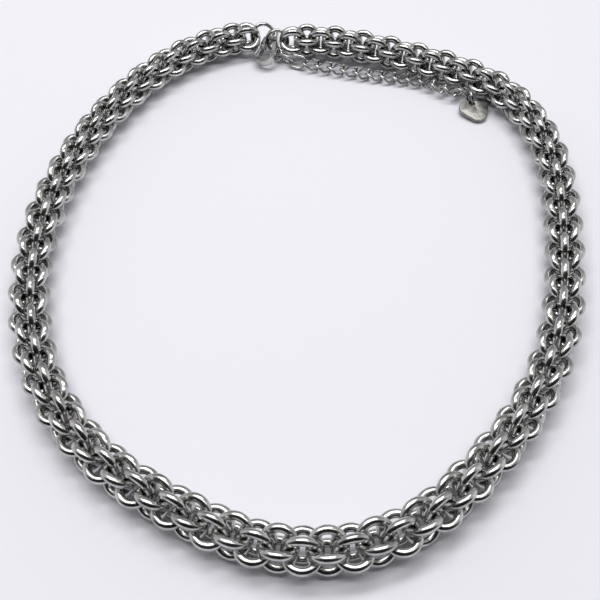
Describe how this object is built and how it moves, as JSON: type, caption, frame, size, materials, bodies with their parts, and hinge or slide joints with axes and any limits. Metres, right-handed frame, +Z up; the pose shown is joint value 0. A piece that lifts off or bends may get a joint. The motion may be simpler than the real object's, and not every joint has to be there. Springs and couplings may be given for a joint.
{
  "type": "necklace",
  "caption": "Chunky round-link chain necklace closed by a lobster clasp, with a thin extension chain that ends in a small plain tag, lying open on a flat surface",
  "frame": {"origin": "on the surface the necklace lies on, inside the loop, near the middle of the neck opening", "axes": "+Z up from the surface, +Y from the front of the chain towards the clasp, +X to the viewer's right"},
  "size_m": [0.1268, 0.154, 0.0096],
  "materials": {
    "polished_steel": "polished stainless steel"
  },
  "bodies": {
    "necklace": {"chain_left": "polished_steel", "chain_right": "polished_steel", "left_end_ring": "polished_steel", "right_end_ring": "polished_steel", "clasp_body": "polished_steel", "clasp_pin": "polished_steel", "extension_chain": "polished_steel", "tag_ring": "polished_steel", "tag": "polished_steel"},
    "gate": {"clasp_lever": "polished_steel"}
  },
  "joints": [
    {"name": "gate_hinge", "type": "hinge", "parent": "necklace", "child": "gate", "pos_m": [-0.00979, 0.06749, 0.00299], "axis": [-0.3028, -0.1437, 0.9422], "range_deg": [0, 22], "stiffness_Nm_per_rad": 0.002}
  ]
}
